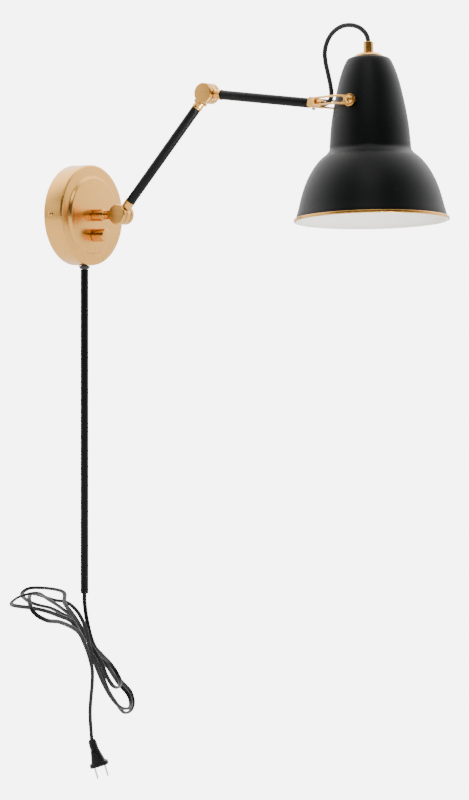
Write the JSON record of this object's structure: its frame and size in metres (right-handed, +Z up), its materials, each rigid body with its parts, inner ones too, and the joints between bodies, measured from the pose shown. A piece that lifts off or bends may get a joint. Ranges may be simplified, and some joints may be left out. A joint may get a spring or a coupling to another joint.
{
  "type": "swing arm wall sconce",
  "caption": "Plug-in wall lamp with a round wall canopy, dimmer knob, two-section swinging arm with disc elbows, slotted yoke, bell shade, cord cover and bundled cord",
  "frame": {"origin": "centre of the back of the canopy and its bracket, on the wall", "axes": "+Y into the wall, -Y out into the room along the swivel axis, +Z up, +X to the right of someone who faces the wall"},
  "size_m": [0.241, 0.5073, 0.8872],
  "materials": {
    "satin_brass": "satin brushed brass, light gold",
    "socket_brass": "bright rolled brass",
    "arm_enamel": "satin black enamel on steel tube",
    "shade_enamel": "satin black enamel outside, warm white enamel inside",
    "zinc_steel": "zinc-plated steel",
    "cord_pvc": "glossy black flexible PVC",
    "wire_pvc": "black wire jacket",
    "head_braid": "fine black braided sleeve",
    "phenolic": "black moulded plastic",
    "ceramic": "white glazed insulator",
    "blade_nickel": "nickel-plated blades",
    "washer_fibre": "dark fibre friction washer"
  },
  "bodies": {
    "wall_base": {"mounting_bracket": "zinc_steel", "canopy": "satin_brass", "canopy_screw_left": "satin_brass", "canopy_screw_right": "satin_brass", "post_barrel": "satin_brass", "post_nipple": "zinc_steel", "post_locknut": "zinc_steel", "dimmer_body": "phenolic", "dimmer_nut": "zinc_steel", "wire_connector_left": "ceramic", "wire_connector_right": "ceramic", "cord_gland": "phenolic", "cord_gland_nut": "zinc_steel", "cord_cover": "arm_enamel", "cover_bushing": "cord_pvc", "cover_lead": "cord_pvc", "power_cord": "cord_pvc", "plug_body": "cord_pvc", "plug_blade_left": "blade_nickel", "plug_blade_right": "blade_nickel"},
    "dimmer": {"dimmer_knob": "satin_brass", "dimmer_shaft": "zinc_steel"},
    "swivel": {"lower_fork": "satin_brass", "lower_elbow_bolt": "zinc_steel", "lower_cap_front": "satin_brass", "lower_cap_rear": "satin_brass", "lower_washer_front": "washer_fibre", "lower_washer_rear": "washer_fibre"},
    "lower_arm": {"lower_tongue": "satin_brass", "lower_arm_tube": "arm_enamel", "lower_arm_wire": "wire_pvc", "upper_fork": "satin_brass", "upper_elbow_bolt": "zinc_steel", "upper_cap_front": "satin_brass", "upper_cap_rear": "satin_brass", "upper_washer_front": "washer_fibre", "upper_washer_rear": "washer_fibre"},
    "upper_arm": {"upper_tongue": "satin_brass", "upper_arm_tube": "arm_enamel", "upper_arm_wire": "wire_pvc", "arm_end_bush": "satin_brass"},
    "yoke": {"cable_nipple": "satin_brass", "yoke_block": "satin_brass", "yoke_strap_left": "satin_brass", "yoke_strap_right": "satin_brass", "yoke_lock_screw": "satin_brass", "pivot_screw_left": "satin_brass", "pivot_screw_right": "satin_brass"},
    "shade": {"shade": "shade_enamel", "shade_rim": "satin_brass", "shade_cap": "satin_brass", "cable_grip": "satin_brass", "shade_nipple": "zinc_steel", "lampholder_body": "phenolic", "socket_insulator": "ceramic", "socket_shell": "socket_brass", "socket_contact": "satin_brass", "pivot_nut_left": "zinc_steel", "pivot_nut_right": "zinc_steel", "head_cable": "head_braid"}
  },
  "joints": [
    {"name": "dimmer_turn", "type": "hinge", "parent": "wall_base", "child": "dimmer", "pos_m": [0, -0.0295, -0.024], "axis": [0, -1, 0], "range_deg": [0, 300]},
    {"name": "base_swivel", "type": "hinge", "parent": "wall_base", "child": "swivel", "pos_m": [0, -0.044, 0], "axis": [0, -1, 0], "range_deg": [-150, 150]},
    {"name": "lower_elbow", "type": "hinge", "parent": "swivel", "child": "lower_arm", "pos_m": [0, -0.0691, 0], "axis": [-1, 0, 0], "range_deg": [-78, 42]},
    {"name": "upper_elbow", "type": "hinge", "parent": "lower_arm", "child": "upper_arm", "pos_m": [0, -0.1942, 0.13845], "axis": [1, 0, 0], "range_deg": [-100, 65]},
    {"name": "yoke_swivel", "type": "hinge", "parent": "upper_arm", "child": "yoke", "pos_m": [0, -0.33624, 0.12101], "axis": [0, -0.9925, -0.1219], "range_deg": [-90, 90]},
    {"name": "shade_tilt", "type": "hinge", "parent": "yoke", "child": "shade", "pos_m": [0.00028, -0.41411, 0.11608], "axis": [0.9981, 0.0074, -0.0606], "range_deg": [-50, 25], "deforming": ["head_cable"]}
  ]
}
